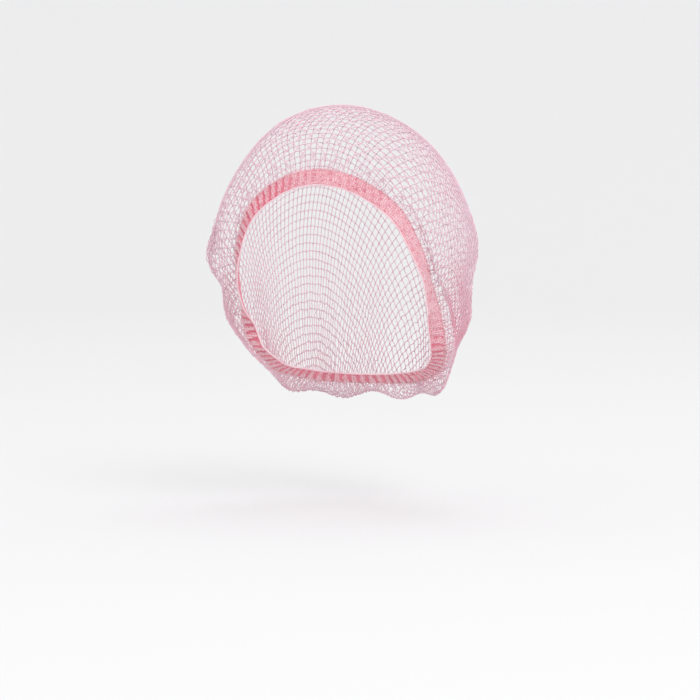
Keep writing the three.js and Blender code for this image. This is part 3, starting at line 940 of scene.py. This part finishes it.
class BandSurface:
    """The outer face of the band: its directions, ribs and stitches, in millimetres."""

    SLANT, SLANT_FALL, BOW = 0.62, 1.2, 0.9
    WIDE_GROOVE, NARROW_GROOVE = 1.3, 0.3
    RIB_HEIGHT = 1.0

    def __init__(self, form):
        self.form, self.size = form, form.band
        self.count = round(form.band_length / self.size.rib_pitch)

    def turn_at(self, along):
        """Direction round the head at a length along the band."""
        return np.interp(along % self.form.band_length, self.form.band_runs, self.form.band_turns)

    def rib(self, along, over):
        """Height of the gathered ribs above the plain band, and how high on its rib a place is.

        The grooves slant towards the temple at the face, less so past it, bow a little and widen."""
        turn = self.turn_at(along)
        v = np.clip(2 * over / self.size.width, -1, 1)
        side = np.tanh(3 * np.sin(np.radians(turn)))
        past = smoothstep(np.abs((turn + 180) % 360 - 180), 20, 52)
        slant = self.SLANT * (1 - self.SLANT_FALL * past)
        shifted = along + side * (slant * over + self.BOW * (1 - v * v))
        wobble = 0.45 * np.sin(along / 6.3) + 0.35 * np.sin(along / 11.7 + 1.1 + 0.3 * v)
        wobble = wobble * np.sin(np.radians(turn / 2)) ** 0.5
        phase = 2 * np.pi * self.count * shifted / self.form.band_length + wobble
        groove = (self.WIDE_GROOVE + self.NARROW_GROOVE) / 2
        groove = groove - v * (self.WIDE_GROOVE - self.NARROW_GROOVE) / 2
        wave = smoothstep(0.5 + 0.5 * np.cos(phase), 0, groove)
        tall = np.clip(read_ring(FINISH, "rib", turn), 0, 1.2) * np.clip(1.3 - np.abs(v) ** 8, 0, 1)
        return (wave - 0.7) * self.RIB_HEIGHT * tall, 1 - (1 - wave) * np.clip(tall * 1.2, 0, 1)

    def place(self, along, over, off):
        """Points of the band, over towards the net and off its middle, with its directions."""
        middle, across, out = self.form.band_frame(self.turn_at(along))
        points = middle + across * np.asarray(over)[..., None] + out * np.asarray(off)[..., None]
        return points, across, out


class HAIRNET_OT_band(bpy.types.Operator):
    """Knits the elastic band: its ribbed body, its stitches and its hems"""

    bl_idname = "hairnet.band"
    bl_label = "Elastic band"

    RING_STEP = 0.75
    FRONT = 17
    BACK = 7
    FRILL = 1.1
    OVERCAST = 2.2
    HEM_STEP = 1.5

    def execute(self, context):
        form = Form()
        band, size = BandSurface(form), form.band
        material = knitted_elastic("knitted covered elastic", size.light, size.middle, size.deep)
        self.make_body(band, size, material)
        self.make_stitches(band, size)
        self.make_hems(band, size)
        return {"FINISHED"}

    def make_body(self, band, size, material):
        """The band's body: a flat oval section, raised into ribs on its outer face."""
        rings = round(band.form.band_length / self.RING_STEP)
        along = np.arange(rings) * band.form.band_length / rings
        front = np.cos(np.linspace(np.pi, 0, self.FRONT))
        back = np.linspace(1, -1, self.BACK + 2)[1:-1]
        section = [(v, 1 - 0.6 * abs(v) ** 5, 1.0) for v in front]
        section += [(v, -1 + 0.4 * abs(v) ** 5, 0.0) for v in back]
        across, off, face = np.array(section).T[:, None]
        run = np.broadcast_to(along[:, None], (rings, len(section)))
        over = np.broadcast_to(across * (size.width / 2), run.shape)
        height, wave = band.rib(run, over)
        points, _, _ = band.place(run, over, off * (size.thickness / 2) + height * face)
        plain = 1 - np.clip(read_ring(FINISH, "rib", band.turn_at(run)), 0, 1)
        # This value picks the band's colour: near zero on the inner face and in the grooves, which take the
        # deep colour as painted shade, and higher up the ribs, towards the cover yarn's paler colour.
        ridge = face * (0.01 + 0.32 * wave + 0.09 * plain)
        body_mesh = Meshes()
        faces = ring_faces(rings, len(section), True)
        body_mesh.add(points.reshape(-1, 3), [faces], ridge=ridge.reshape(-1))
        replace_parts(body_mesh.piece("band_knit", material), "elastic_band")

    def make_stitches(self, band, size):
        """Rows of small slanting loops over the whole outer face."""
        columns = round(band.form.band_length / size.stitch)
        rows = int((size.width - 1.0) / size.wale)
        along = np.arange(columns) * band.form.band_length / columns
        wales = (np.arange(rows) - (rows - 1) / 2) * size.wale
        noise = np.random.default_rng(37)
        run, over = np.meshgrid(along, wales, indexing="ij")
        run, over = run.reshape(-1), over.reshape(-1)
        stitches = Meshes()
        small = [size.stitch * 0.48, size.wale * 0.21, size.wale * 0.24]
        for lean in (-1, 1):
            start = run + noise.normal(0, 0.12, run.shape)
            mid = over + lean * size.wale * 0.24 + noise.normal(0, 0.08, run.shape)
            height, wave = band.rib(start, mid)
            kept = wave > 0.4
            start, mid, height, wave = start[kept], mid[kept], height[kept], wave[kept]
            level = 1 - 0.6 * np.abs(2 * mid / size.width) ** 5
            centre, across, out = band.place(start, mid, size.thickness / 2 * level + height)
            ahead, _, _ = band.place(start + 1, mid, size.thickness / 2 * level + height)
            forward = unit(ahead - centre)
            long = unit(forward + across * lean * 0.6)
            side = unit(np.cross(out, long))
            # Stitches low on their rib take more of the deep colour, as painted shade towards the grooves;
            # the random part is the yarn's own uneven tone.
            tint = np.clip(0.7 - 0.7 * wave + noise.normal(0.06, 0.28, wave.shape), 0, 1)
            stitches.balls(centre, (long, side, out), small, tint)
        material = knitted_yarn("crimped polyester cover yarn", size.light, size.deep, 1.2, 0.3)
        stitches.piece("band_stitches", material)

    def make_hems(self, band, size):
        """The hem cord along the face with its overcast loops, and the frill where the net joins."""
        hems, noise = Meshes(), np.random.default_rng(41)
        around = band.form.band_length
        steps = round(around / self.HEM_STEP)
        along = np.arange(steps) * around / steps
        over = -size.width / 2 + 0.1 + 0.12 * np.sin(along / 2.3)
        centre, _, out = band.place(along, over, np.full_like(along, 0.3))
        hems.tube(centre, out, size.hem / 2, 6, closed=True, tint=0.0)
        for side, spacing, loose in ((-1, self.OVERCAST, 0), (1, self.FRILL, 1)):
            turns = round(around / spacing)
            for index in range(turns):
                radius = size.hem / 2 + 0.12 + loose * noise.uniform(-0.1, 0.75)
                start = (index + noise.uniform(-0.2, 0.2)) * around / turns
                tint = 0.05 + loose * np.clip(noise.normal(0.2, 0.25), 0, 0.7)
                self.overcast(hems, band, size, start, side, radius, tint)
        material = knitted_yarn("overcast polyester hem", size.light, size.deep, 1.6, 0.4)
        hems.piece("band_hems", material)

    def overcast(self, hems, band, size, start, side, radius, tint):
        """One loop of yarn round the edge of the band, towards the face or the net."""
        angle = np.linspace(-0.2, 1.2, 7) * np.pi
        over = side * (size.width / 2 - 0.3 + radius * np.sin(angle))
        off = 0.25 + radius * 0.9 * np.cos(angle)
        along = start + 0.35 * angle
        centre, across, out = band.place(along, over, off)
        normals = across * (side * np.sin(angle))[:, None] + out * np.cos(angle)[:, None]
        hems.tube(centre, normals, 0.26, 4, tint=tint)


class HAIRNET_OT_stage(bpy.types.Operator):
    """Sets up the floor with its backdrop, the soft lights and the camera"""

    bl_idname = "hairnet.stage"
    bl_label = "Studio"

    CENTRE = Vector((0, 0.02, -0.12))
    # Each light's name, place from the centre, size and power
    LIGHTS = (
        ("key light", (2.4, -3.0, 3.2), 2.2, 66),
        ("fill light", (-3.2, -2.8, 1.6), 2.8, 14),
        ("top light", (0.4, 0.6, 3.6), 2.4, 16),
    )

    def execute(self, context):
        studio = context.scene.hairnet_studio
        self.make_paper(studio)
        self.make_camera(studio)
        for light in self.LIGHTS:
            self.make_light(*light)
        world = bpy.data.worlds.new("studio air")
        world.use_nodes = True
        background = world.node_tree.nodes["Background"]
        background.inputs["Color"].default_value = (1, 1, 1, 1)
        background.inputs["Strength"].default_value = 0.95
        context.scene.world = world
        context.scene.view_settings.view_transform = "Standard"
        return {"FINISHED"}

    def make_paper(self, studio):
        """A round sheet of paper that lies flat in the middle and rises in one sweep all round."""
        flat, bend, rise, steps, around = 2.0, 2.6, 60, 16, 96
        profile = [(0.6, 0.0)]
        for step in range(steps + 1):
            angle = math.radians(rise * step / steps)
            profile.append((flat + bend * math.sin(angle), bend - bend * math.cos(angle)))
        angles = np.arange(around) * 2 * math.pi / around
        rings = [
            [(r * math.cos(angle), r * math.sin(angle), z - studio.floor_drop) for angle in angles]
            for r, z in profile
        ]
        points = [point for ring in rings for point in ring]
        faces = ring_faces(len(rings), around, False).tolist() + [list(range(around))]
        material = seamless_paper("seamless studio paper", studio.paper)
        add_mesh("studio_paper", points, faces, material)

    def make_camera(self, studio):
        """A long lens at the photograph's angle."""
        a, e = studio.azimuth, studio.elevation
        back = Vector((math.sin(a) * math.cos(e), -math.cos(a) * math.cos(e), math.sin(e)))
        right = Vector((math.cos(a), math.sin(a), 0))
        target = right * studio.aim_right - back.cross(right) * studio.aim_down
        data = bpy.data.cameras.new("camera")
        data.lens = data.sensor_width * studio.distance / studio.view_width
        data.clip_end = 20
        camera = add_object("camera", data)
        camera.location = target + back * studio.distance
        camera.rotation_euler = back.to_track_quat("Z", "Y").to_euler()
        bpy.context.scene.camera = camera

    def make_light(self, name, place, size, power):
        """A large soft light that faces the hairnet."""
        data = bpy.data.lights.new(name, "AREA")
        data.shape, data.size, data.energy = "DISK", size, power
        light = add_object(name, data)
        light.location = self.CENTRE + Vector(place)
        light.rotation_euler = Vector(place).to_track_quat("Z", "Y").to_euler()


class HAIRNET_PT_panel(bpy.types.Panel):
    """Lists the hairnet's values and the operators that build it"""

    bl_label = "Hairnet"
    bl_space_type = "VIEW_3D"
    bl_region_type = "UI"
    bl_category = "Hairnet"

    def draw(self, context):
        for operator in OPERATORS:
            self.layout.operator(operator.bl_idname)
        for name, group in GROUPS.items():
            box = self.layout.box()
            for key in group.__annotations__:
                box.prop(getattr(context.scene, name), key)


OPERATORS = (HAIRNET_OT_net, HAIRNET_OT_gathers, HAIRNET_OT_band, HAIRNET_OT_stage)


def register():
    for group in (*GROUPS.values(), *OPERATORS, HAIRNET_PT_panel):
        bpy.utils.register_class(group)
    for name, group in GROUPS.items():
        setattr(bpy.types.Scene, name, PointerProperty(type=group))


def unregister():
    for name in GROUPS:
        delattr(bpy.types.Scene, name)
    for group in reversed((*GROUPS.values(), *OPERATORS, HAIRNET_PT_panel)):
        bpy.utils.unregister_class(group)


def main():
    register()
    bpy.ops.hairnet.net()
    bpy.ops.hairnet.gathers()
    bpy.ops.hairnet.band()
    bpy.ops.hairnet.stage()


if __name__ == "__main__":
    main()
